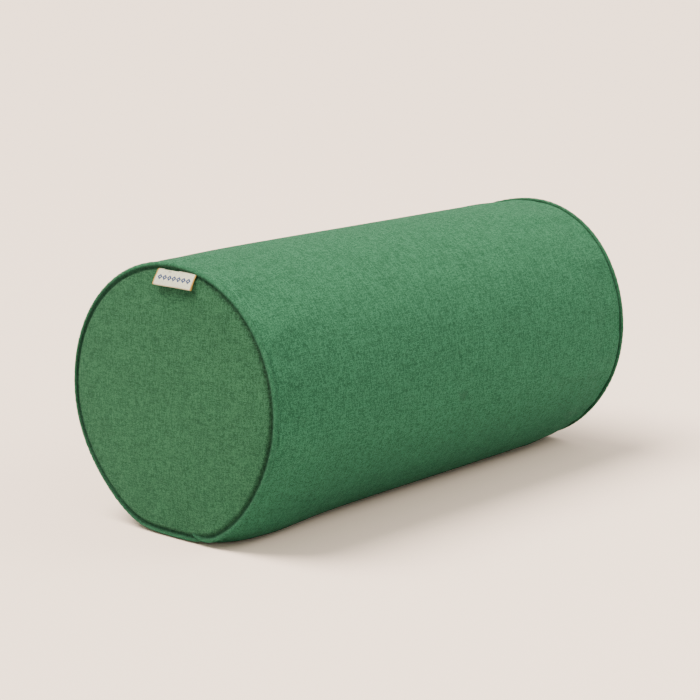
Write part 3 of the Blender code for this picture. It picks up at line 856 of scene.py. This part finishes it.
class BOLSTER_OT_end_covers(bpy.types.Operator):
    """Cut the two round ends, sew their rims down and fill them"""
    bl_idname = "bolster.end_covers"
    bl_label = "End Panels"

    def execute(self, context):
        sizes = context.scene.bolster_sizes
        for name, sign in (("left", -1), ("right", 1)):
            piece, share, angle = cloth_disc(f"cover_end_{name}", 256, 64)
            share = 1 - (1 - share) ** 1.6
            flat = np.stack([share * np.cos(angle), share * np.sin(angle)], axis=1)
            rim = RING_RADIUS - sizes.piping
            set_cloth_coordinates(piece, flat[:, 0] * rim, flat[:, 1] * rim)
            crown = sizes.crown * np.power(np.clip(1 - share ** 2, 0, 1), 0.62)
            disc = np.stack([sign * crown * 0.6, flat[:, 0] * rim, flat[:, 1] * rim], axis=1)
            move_points(piece, disc)
            swell_as_cloth(piece, share > 0.975, 3.0, sizes.slack * 0.8, 0.006)
            moved = points_of(piece) - disc
            y, z = seam_point(sign, angle, sizes.piping / 2)
            y, z = y * share, CENTRE_Z + (z - CENTRE_Z) * share
            bulge = sign * moved[:, 0]
            steps = np.linspace(0, 1, 24)
            band = np.digitize(share, steps)
            level = [np.mean(bulge[band == i]) if np.any(band == i) else 0.0 for i in range(25)]
            bulge = bulge - np.interp(share, steps - steps[1] / 2, level[:24])
            bulge = np.clip(bulge * 0.55, -0.0007, 0.0009) * np.clip((1 - share) / 0.05, 0, 1)
            from_rim = (1 - share) * rim
            groove = 0.0034 * hill(from_rim, 0, 0.0021)
            x = sign * (SEAM_X + 0.0014 + crown + bulge - groove)
            move_points(piece, np.stack([x, y, np.maximum(z, 0.0001)], axis=1))
            # painted shade: the end panel darkens within a few millimetres of its rim
            set_painted_seam_shade(piece, hill(from_rim, 0, 0.0030))
            face_outwards(piece, np.array([[sign, 0, 0]]))
            apply_modifier(piece, 'SUBSURF', levels=1, render_levels=1)
            smooth(piece)
            finish_piece(piece, linen(context, "end"), "pillow",
                         (f"cover_end_panel_{name}",))
        return {'FINISHED'}


def open_ring(name, steps, sides):
    """Tube opened at one place, as (piece, share along it from 0 to 1, angle round its section)."""
    piece = cloth_grid(name, sides, steps)
    flat = points_of(piece)
    return piece, (flat[:, 0] + 1) / 2, flat[:, 1] * math.pi


def close_tube(piece):
    """Join a tube's long edges and cap its two ends."""
    with editing(piece):
        bpy.ops.mesh.remove_doubles(threshold=0.00002)
        bpy.ops.mesh.select_all(action='DESELECT')
        bpy.ops.mesh.select_non_manifold(extend=False)
        bpy.ops.mesh.edge_face_add()
    recalculated(piece)


def place_ring(piece, share, outward, sideways, sign, sizes):
    """Lay an opened ring along the seam, its two ends crossing and diving into it."""
    angle = LAP_ANGLE + share * (2 * math.pi + LAP_LENGTH) - LAP_LENGTH / 2
    bead = sizes.piping / 2
    y, z = ring_point(sign, angle, bead)
    from_end = np.minimum(share, 1 - share) * 2 * math.pi / math.radians(9)
    dive = np.clip(1 - from_end, 0, 1) ** 2
    cross = np.clip(1 - from_end * 0.8, 0, 1) * np.where(share < 0.5, -1, 1)
    x = sign * SEAM_X + sign * cross * bead * 0.75
    shrink = (1 - dive * 0.045)
    y, z = y * shrink, CENTRE_Z + (z - CENTRE_Z) * shrink
    out = np.stack([y, z - CENTRE_Z], axis=1)
    out /= np.linalg.norm(out, axis=1, keepdims=True)
    move_points(piece, np.stack([x + sign * sideways, y + out[:, 0] * outward,
                                 z + out[:, 1] * outward], axis=1))


def keyhole(tube, radius, flange):
    """(outward, sideways) of a corded fold: a round bead and the flat flange below it."""
    neck = 0.82 * math.pi
    bend = np.clip(tube / neck, -1, 1) * (math.pi - 0.22)
    below = np.clip((np.abs(tube) - neck) / (math.pi - neck), 0, 1)
    outward = radius * np.cos(bend) - below * flange
    sideways = radius * np.sin(bend) * (1 - 0.4 * below)
    return outward, sideways


class BOLSTER_OT_piping(bpy.types.Operator):
    """Fold bias strips over twisted cords and sew them round both ends"""
    bl_idname = "bolster.piping"
    bl_label = "Piping"

    def execute(self, context):
        sizes = context.scene.bolster_sizes
        bead = sizes.piping / 2
        for name, sign in (("left", -1), ("right", 1)):
            piece, share, tube = open_ring(f"piping_{name}", 620, 22)
            length = share * 2 * math.pi * RING_RADIUS
            gathers = 0.05 * np.sin(length * 900 + 2 * np.sin(length * 130)) \
                * np.sin(length * 61 + 1.3)
            outward, sideways = keyhole(tube, bead * (1 + gathers), PIPING_FLANGE)
            place_ring(piece, share, outward, sideways, sign, sizes)
            bias = bead * tube
            set_cloth_coordinates(piece, (length + bias) * 0.7071, (length - bias) * 0.7071)
            # painted shade: the bead's flanks darken down into the seam, from higher up on the side
            # with negative sideways
            flank_start = np.where(sideways < 0, 0.1, 0.8)
            set_painted_seam_shade(piece, 0.8 * stepped((np.abs(tube) - flank_start) / 1.5))
            close_tube(piece)
            smooth(piece)
            finish_piece(piece, linen(context, "piping"), "pillow",
                         (f"piping_strip_{name}",))

            cord, share, tube = open_ring(f"cord_{name}", 900, 12)
            length = share * 2 * math.pi * RING_RADIUS
            radius = bead * 0.62 * (1 + 0.16 * np.cos(3 * tube - length * 700))
            place_ring(cord, share, radius * np.cos(tube), radius * np.sin(tube), sign, sizes)
            set_cloth_coordinates(cord, length, bead * tube)
            close_tube(cord)
            smooth(cord)
            finish_piece(cord, thread_material("cotton_cord", (0.78, 0.74, 0.64)), "pillow",
                         (f"piping_cord_{name}",))
        return {'FINISHED'}


class BOLSTER_OT_label(bpy.types.Operator):
    """Fold the ribbon label and catch it in the seam"""
    bl_idname = "bolster.label"
    bl_label = "Label"

    def execute(self, context):
        sizes, colours = context.scene.bolster_sizes, context.scene.bolster_colours
        piece = cloth_grid("label", 56, 48)
        flat = points_of(piece)
        across = flat[:, 1] * sizes.label_width / 2
        run = (flat[:, 0] + 1) * sizes.label_drop
        ply, tuck, fold = 0.0004, 0.0016, 0.0007
        down_front = sizes.label_drop - fold
        # the ribbon runs down its front, round its fold and up its back
        front = run <= down_front
        past_fold = np.maximum(run - down_front - math.pi * fold, 0)
        bend = np.clip((run - down_front) / fold, 0, math.pi)
        down = np.minimum(run, down_front) + fold * np.sin(bend) - past_fold
        out = -fold * (1 - np.cos(bend))
        ease = np.clip(down / down_front, 0, 1)
        out = np.where(front, out - 0.0007 * (1 - ease), out * (0.35 + 0.65 * ease))
        out += 0.0006 * np.sin(ease * math.pi) + 0.00035 * np.sin(across * 190 + 0.6) * ease
        tilt = sizes.label_tilt
        y0, z0 = seam_point(-1, np.array([LABEL_MIDDLE]), sizes.piping / 2)
        drop_x = -SEAM_X - 0.0012 - down * math.sin(tilt) - out * math.cos(tilt)
        drop_z = z0[0] - tuck - down * math.cos(tilt) + out * math.sin(tilt)
        move_points(piece, np.stack([drop_x, y0[0] - across, drop_z], axis=1))
        set_cloth_coordinates(piece, across, run)
        face_outwards(piece, np.where(front[:, None], [[-1.0, 0, 0.3]], [[0.0, 0, 0]]))
        apply_modifier(piece, 'SOLIDIFY', thickness=ply, offset=-1.0, use_even_offset=True)
        smooth(piece, 50)
        finish_piece(piece, ribbon_material(sizes, colours), "pillow",
                     ("label_loop",))
        return {'FINISHED'}


def zip_point(x, sideways, depth):
    """Place beside the zip: sideways across it from its middle, depth below the body's face."""
    angle = ZIP_ANGLE + sideways / BODY_RADIUS
    y, z = section_point(x, angle, depth)
    return np.stack([x, y, z], axis=-1)


class BOLSTER_OT_zip_tapes(bpy.types.Operator):
    """Lay the two woven tapes of the zip behind its opening"""
    bl_idname = "bolster.zip_tapes"
    bl_label = "Zip Tapes"

    def execute(self, context):
        colours = context.scene.bolster_colours
        for name, side in (("lower", -1), ("upper", 1)):
            piece = cloth_grid(f"tape_{name}", 20, 300)
            flat = points_of(piece)
            x = flat[:, 0] * TAPE_END
            across = 0.0004 + (flat[:, 1] + 1) / 2 * TAPE_WIDTH
            ribs = 0.00008 * np.sin(across * 2 * math.pi / 0.0016)
            move_points(piece, zip_point(x, side * across, TAPE_DEPTH - ribs))
            set_cloth_coordinates(piece, across, x)
            face_outwards(piece, np.array([list(ZIP_OUT)]))
            apply_modifier(piece, 'SOLIDIFY', thickness=0.0005, offset=-1.0)
            smooth(piece, 50)
            tape = woven_material("zip_tape_weave", [part * 1.1 for part in colours.body_light],
                                  [part * 0.8 for part in colours.body_dark], 0.0005, slub=0.1,
                                  contrast=0.7, sheen=0.1, relief=0.4)
            finish_piece(piece, tape, "pillow", (f"zip_tape_{name}",))
        return {'FINISHED'}


class BOLSTER_OT_zip_coils(bpy.types.Operator):
    """Wind the two nylon coils, whose turns mesh along the middle of the zip"""
    bl_idname = "bolster.zip_coils"
    bl_label = "Zip Coils"

    def execute(self, context):
        sizes = context.scene.bolster_sizes
        turns = int((COIL_HIGH.x - COIL_LOW.x) / sizes.tooth_pitch)
        for name, side in (("lower", -1), ("upper", 1)):
            deselect()
            bpy.ops.mesh.primitive_torus_add(major_segments=10, minor_segments=4,
                                             major_radius=1.0, minor_radius=0.30)
            turn = added(f"coil_turn_{name}")
            places = points_of(turn)
            # a turn is a flattened loop, broader at its head, leaning along the coil
            half_width, half_height, thread = 0.00150, 0.00066, 0.0009
            ring = np.arctan2(places[:, 1], places[:, 0])
            off = (np.hypot(places[:, 0], places[:, 1]) - 1) * thread
            across = np.cos(ring) * (half_width + off)
            height = np.sin(ring) * (half_height + off)
            head = 1 + 0.35 * np.clip(-np.cos(ring), 0, 1)
            lean = np.sin(ring) * sizes.tooth_pitch * 0.10
            thick = places[:, 2] * 1.31 * thread * head + lean
            shape = np.stack([thick, across, height], axis=1)
            start = COIL_LOW.x + sizes.tooth_pitch * (0.5 if side > 0 else 1.0)
            repeat(turn, turns - 1)
            number = np.arange(len(turn.data.vertices)) // len(shape)
            every = np.tile(shape, (turns - 1, 1))
            x = start + number * sizes.tooth_pitch + every[:, 0]
            sideways = side * (0.00105 + every[:, 1])
            depth = TAPE_DEPTH - 0.00098 - every[:, 2]
            move_points(turn, zip_point(x, sideways, depth))
            recalculated(turn)
            smooth(turn, 75)
            turn.name = f"coil_{name}"
            turn.data.name = turn.name
            finish_piece(turn, nylon_material(), "pillow", (f"zip_coil_{name}",))
        return {'FINISHED'}


class BOLSTER_OT_zip_metal(bpy.types.Operator):
    """Round the edges of the stops, the slider and its tab, and plate them"""
    bl_idname = "bolster.zip_metal"
    bl_label = "Stops, Slider and Tab"

    def execute(self, context):
        colours = context.scene.bolster_colours
        bodies = {"zip_top_stop_upper": "pillow", "zip_top_stop_lower": "pillow",
                  "zip_bottom_stop": "pillow", "zip_slider": "slider", "zip_pull_tab": "pull"}
        for name, body in bodies.items():
            take(frame["nodes"][name])
            bpy.ops.object.duplicate()
            piece = added(f"metal_{name.removeprefix('zip_')}")
            piece.parent = None
            piece.matrix_world = Matrix.Identity(4)
            with editing(piece):
                bpy.ops.mesh.remove_doubles(threshold=0.00001)
                bpy.ops.mesh.normals_make_consistent(inside=False)
                bpy.ops.mesh.dissolve_limited(angle_limit=math.radians(2))
            apply_modifier(piece, 'BEVEL', width=0.00018, segments=3, limit_method='ANGLE',
                           angle_limit=math.radians(35), use_clamp_overlap=True)
            smooth(piece, 45)
            finish_piece(piece, metal_material(colours), body, (name,))
        return {'FINISHED'}


class BOLSTER_OT_stitching(bpy.types.Operator):
    """Sew a row of stitches along each hem of the zip, and across its two ends"""
    bl_idname = "bolster.stitching"
    bl_label = "Topstitching"

    def execute(self, context):
        sizes, colours = context.scene.bolster_sizes, context.scene.bolster_colours
        deselect()
        bpy.ops.mesh.primitive_uv_sphere_add(segments=6, ring_count=6, radius=1)
        piece = added("topstitching")
        single = points_of(piece)
        pitch = sizes.stitch * 1.35
        reach = COIL_HIGH.x + 0.009
        offset = SLOT_HALF + 0.0058
        per_row = int(2 * reach / pitch)
        per_end = int(2 * offset / pitch)
        places = [(-reach + (i + 0.5) * pitch, side * offset, 0.0)
                  for side in (-1, 1) for i in range(per_row)]
        places += [(side * reach, -offset + (i + 0.5) * pitch, 1.0)
                   for side in (-1, 1) for i in range(per_end)]
        repeat(piece, len(places))
        places = np.repeat(np.array(places), len(single), axis=0)
        shape = np.tile(single, (len(places) // len(single), 1))
        run = shape[:, 2] * sizes.stitch / 2
        half_width, half_height, sink = 0.00028, 0.00024, 0.00035
        wide = shape[:, 0] * half_width
        rise = shape[:, 1] * half_height - sink * shape[:, 2] ** 2 + half_height / 2
        crosswise = places[:, 2] > 0.5
        x = places[:, 0] + np.where(crosswise, wide, run)
        sideways = places[:, 1] + np.where(crosswise, run, wide)
        move_points(piece, zip_point(x, sideways, -rise))
        set_cloth_coordinates(piece, x, sideways)
        recalculated(piece)
        smooth(piece, 80)
        finish_piece(piece, thread_material("sewing_thread", colours.end_light), "pillow")
        return {'FINISHED'}


def filling_recess(angle):
    """Share of the hollow that the zip presses into the filling."""
    away = np.abs(turn_between(angle, ZIP_ANGLE)) * BODY_RADIUS
    return stepped((0.047 - away) / 0.031)


def filling_place(x, angle, depth, share=1.0):
    """Place in the filling: below the body's face, or part of the way from its middle."""
    y, z = section_point(x, angle, depth + 0.0030 * filling_recess(angle))
    return np.stack([x, y * share, CENTRE_Z + (z - CENTRE_Z) * share], axis=1)


def filling_tube(name, half_length, depth, wall, ripple):
    """Soft closed tube round the axis, its outside this far below the body's face."""
    piece = cloth_grid(name, 120, 60)
    flat = points_of(piece)
    angle = ZIP_ANGLE + math.pi + flat[:, 1] * math.pi
    x = flat[:, 0] * half_length
    rough = ripple * (np.sin(x * 160 + 3 * np.cos(angle * 3)) * np.sin(angle * 9 + x * 30) - 1)
    move_points(piece, filling_place(x, angle, depth - rough))
    set_cloth_coordinates(piece, flat[:, 1] * math.pi * BODY_RADIUS, x)
    with editing(piece):
        bpy.ops.mesh.remove_doubles(threshold=0.00002)
    outward = points_of(piece) - [[0, 0, CENTRE_Z]]
    face_outwards(piece, outward * [[0, 1, 1]])
    apply_modifier(piece, 'SOLIDIFY', thickness=wall, offset=-1.0)
    smooth(piece)
    return piece


def filling_disc(name, sign, start, depth, wall, crown):
    """Soft round pad across one end of the filling, its outside start away from the middle."""
    piece, share, angle = cloth_disc(name, 128, 32)
    flat = points_of(piece)
    x = sign * (start + crown * (1 - share ** 2))
    move_points(piece, filling_place(x, angle, depth, share))
    set_cloth_coordinates(piece, flat[:, 0] * RING_RADIUS, flat[:, 1] * RING_RADIUS)
    face_outwards(piece, np.array([[sign, 0, 0]]))
    apply_modifier(piece, 'SOLIDIFY', thickness=wall, offset=-1.0)
    smooth(piece)
    return piece


class BOLSTER_OT_filling(bpy.types.Operator):
    """Wrap the foam core in wadding and sew it into its cotton liner"""
    bl_idname = "bolster.filling"
    bl_label = "Liner, Wadding and Core"

    def execute(self, context):
        cotton = woven_material("liner_cotton_weave", (0.80, 0.77, 0.70), (0.60, 0.57, 0.50),
                                0.0005, slub=0.2, contrast=0.8)
        fleece = fibre_material("wadding_fleece", (0.86, 0.85, 0.82), (0.62, 0.60, 0.57), 90,
                                0.0012)
        foam = fibre_material("cut_foam", (0.82, 0.74, 0.50), (0.52, 0.43, 0.22), 260, 0.0006)
        piece = filling_tube("liner_tube", LINER_END - 0.0005, 0.0014, 0.0003, 0.0002)
        finish_piece(piece, cotton, "pillow", ("liner_body",))
        wrap = filling_tube("wadding_roll", CORE_END, 0.0030, 0.0125, 0.0006)
        finish_piece(wrap, fleece, "pillow", ("wadding_wrap",))
        core = filling_tube("foam_roll", CORE_END - 0.0005, 0.0180, 0.0900, 0.0003)
        finish_piece(core, foam, "pillow", ("foam_core",))
        for name, sign in (("left", -1), ("right", 1)):
            end = filling_disc(f"liner_disc_{name}", sign, LINER_END, 0.0016, 0.0003, 0.0050)
            finish_piece(end, cotton, "pillow", (f"liner_end_{name}",))
            pad = filling_disc(f"wadding_disc_{name}", sign, LINER_END - 0.0010, 0.0040,
                               0.0100, 0.0045)
            finish_piece(pad, fleece, "pillow", (f"wadding_end_{name}",))
        return {'FINISHED'}


class BOLSTER_OT_stage(bpy.types.Operator):
    """Set up the camera, the pale floor and the soft studio light"""
    bl_idname = "bolster.stage"
    bl_label = "Stage"

    def execute(self, context):
        scene = context.scene
        deselect()
        bpy.ops.mesh.primitive_plane_add(size=60)
        floor = added("studio_floor")
        with editing(floor):
            bpy.ops.mesh.subdivide(number_cuts=3)
        material, tree, shader = new_material("studio_floor_paint")
        seen = add_node(tree, 'ShaderNodeLightPath', output="Is Camera Ray")
        blended(tree, seen, (0.55, 0.55, 0.52, 1), (1.08, 0.865, 0.705, 1)).to(
            shader, "Base Color")
        shader.inputs["Roughness"].default_value = 0.9
        shader.inputs["Specular IOR Level"].default_value = 0.0
        floor.data.materials.append(material)

        world = bpy.data.worlds.new("studio")
        world.use_nodes = True
        scene.world = world
        tree = world.node_tree
        dome = next(node for node in tree.nodes if node.type == 'BACKGROUND')
        seen = add_node(tree, 'ShaderNodeLightPath', output="Is Camera Ray")
        blended(tree, seen, (0.78, 0.77, 0.75, 1), (3.3, 2.55, 2.05, 1)).to(dome, "Color")
        dome.inputs["Strength"].default_value = 1.0

        for name, turn, strength, width, colour in (
                ("overhead_softbox", (-18, -20, 0), 7.4, 36, (1.0, 0.93, 0.86)),
                ("side_softbox", (44, -40, 0), 0.5, 80, (1.0, 0.96, 0.92))):
            deselect()
            bpy.ops.object.light_add(type='SUN', location=(0, 0, 2))
            light = added(name)
            light.rotation_euler = [math.radians(part) for part in turn]
            light.data.energy = strength
            light.data.angle = math.radians(width)
            light.data.color = colour

        deselect()
        bpy.ops.object.light_add(type='AREA', location=(0.42, -1.05, 1.10))
        light = added("front_softbox")
        light.rotation_euler = Vector((-0.42, 1.05, -0.98)).to_track_quat('-Z', 'Y').to_euler()
        light.data.shape = 'DISK'
        light.data.size = 0.8
        light.data.energy = 9.5
        light.data.color = (1.0, 0.97, 0.93)

        deselect()
        bpy.ops.object.camera_add(location=(-1.492, -1.288, 0.555))
        camera = added("camera")
        camera.rotation_euler = Vector((0.7355, 0.6418, -0.2170)).to_track_quat(
            '-Z', 'Y').to_euler()
        camera.data.lens = 119.7
        camera.data.sensor_width = 36
        camera.data.clip_end = 200
        scene.camera = camera
        deselect()
        return {'FINISHED'}


OPERATORS = (
    BOLSTER_OT_stage, BOLSTER_OT_body_cover, BOLSTER_OT_end_covers, BOLSTER_OT_piping,
    BOLSTER_OT_label, BOLSTER_OT_zip_tapes, BOLSTER_OT_zip_coils, BOLSTER_OT_zip_metal,
    BOLSTER_OT_stitching, BOLSTER_OT_filling)


class BOLSTER_PT_sidebar(bpy.types.Panel):
    """Lists the pillow's sizes, its colours and its building steps"""
    bl_idname = "BOLSTER_PT_sidebar"
    bl_label = "Bolster Pillow"
    bl_space_type = 'VIEW_3D'
    bl_region_type = 'UI'
    bl_category = "Bolster"

    def draw(self, context):
        for group in (context.scene.bolster_sizes, context.scene.bolster_colours):
            box = self.layout.box()
            for name in group.__annotations__:
                box.prop(group, name)
        for operator in OPERATORS:
            self.layout.operator(operator.bl_idname)


CLASSES = (BolsterSizes, BolsterColours, *OPERATORS, BOLSTER_PT_sidebar)


def register():
    for kind in CLASSES:
        bpy.utils.register_class(kind)
    bpy.types.Scene.bolster_sizes = PointerProperty(type=BolsterSizes)
    bpy.types.Scene.bolster_colours = PointerProperty(type=BolsterColours)


def unregister():
    del bpy.types.Scene.bolster_colours
    del bpy.types.Scene.bolster_sizes
    for kind in reversed(CLASSES):
        bpy.utils.unregister_class(kind)


def main():
    register()
    bpy.ops.bolster.stage()
    bpy.ops.bolster.body_cover()
    bpy.ops.bolster.end_covers()
    bpy.ops.bolster.piping()
    bpy.ops.bolster.label()
    bpy.ops.bolster.zip_tapes()
    bpy.ops.bolster.zip_coils()
    bpy.ops.bolster.zip_metal()
    bpy.ops.bolster.stitching()
    bpy.ops.bolster.filling()


if __name__ == "__main__":
    main()
